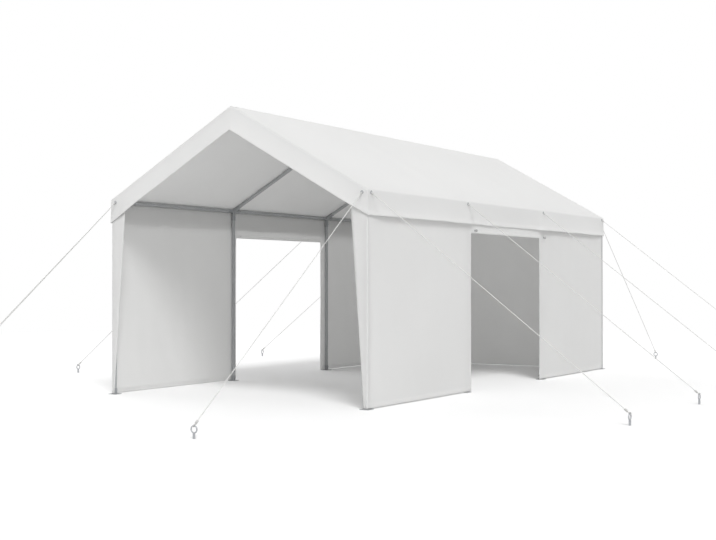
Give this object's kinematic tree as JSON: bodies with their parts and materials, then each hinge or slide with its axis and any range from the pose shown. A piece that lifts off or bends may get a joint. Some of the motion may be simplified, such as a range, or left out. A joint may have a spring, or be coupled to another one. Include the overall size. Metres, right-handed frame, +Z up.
{
  "type": "carport",
  "caption": "Canopy carport: a peaked tube frame under a white woven cover with valances, side walls with a doorway each, an open front, a closed back and guy ropes to anchors.",
  "frame": {"origin": "centre of the frame, at ground level", "axes": "+X across the bay to the right as seen from the open front, +Y from the open front to the closed back, +Z up"},
  "size_m": [7.87, 10.92, 2.84],
  "materials": {
    "roof_cover": "white woven sheet with a slight sheen",
    "wall_sheet": "white woven sheet with a slight sheen",
    "frame_tube": "grey powder coat",
    "fitting": "grey powder coat",
    "foot": "grey powder coat",
    "rope": "twisted white cord",
    "anchor": "dull zinc"
  },
  "bodies": {
    "root": {"left_roof_slope": "roof_cover", "right_roof_slope": "roof_cover", "left_valance": "roof_cover", "right_valance": "roof_cover", "front_left_valance": "roof_cover", "front_right_valance": "roof_cover", "rear_left_valance": "roof_cover", "rear_right_valance": "roof_cover", "left_front_wall": "wall_sheet", "left_rear_wall": "wall_sheet", "left_door_header": "wall_sheet", "right_front_wall": "wall_sheet", "right_rear_wall": "wall_sheet", "right_door_header": "wall_sheet", "left_front_flap": "wall_sheet", "right_front_flap": "wall_sheet", "back_wall": "wall_sheet", "left_front_post": "frame_tube", "left_second_post": "frame_tube", "left_third_post": "frame_tube", "left_rear_post": "frame_tube", "right_front_post": "frame_tube", "right_second_post": "frame_tube", "right_third_post": "frame_tube", "right_rear_post": "frame_tube", "front_rafters": "frame_tube", "second_rafters": "frame_tube", "third_rafters": "frame_tube", "rear_rafters": "frame_tube", "ridge_tubes": "frame_tube", "left_eave_rails": "frame_tube", "right_eave_rails": "frame_tube", "left_eave_fittings": "fitting", "right_eave_fittings": "fitting", "ridge_fittings": "fitting", "left_foot_plates": "foot", "right_foot_plates": "foot", "left_guy_ropes": "rope", "right_guy_ropes": "rope", "front_guy_ropes": "rope", "rear_guy_ropes": "rope", "left_anchors": "anchor", "right_anchors": "anchor", "front_anchors": "anchor", "rear_anchors": "anchor"}
  },
  "joints": []
}
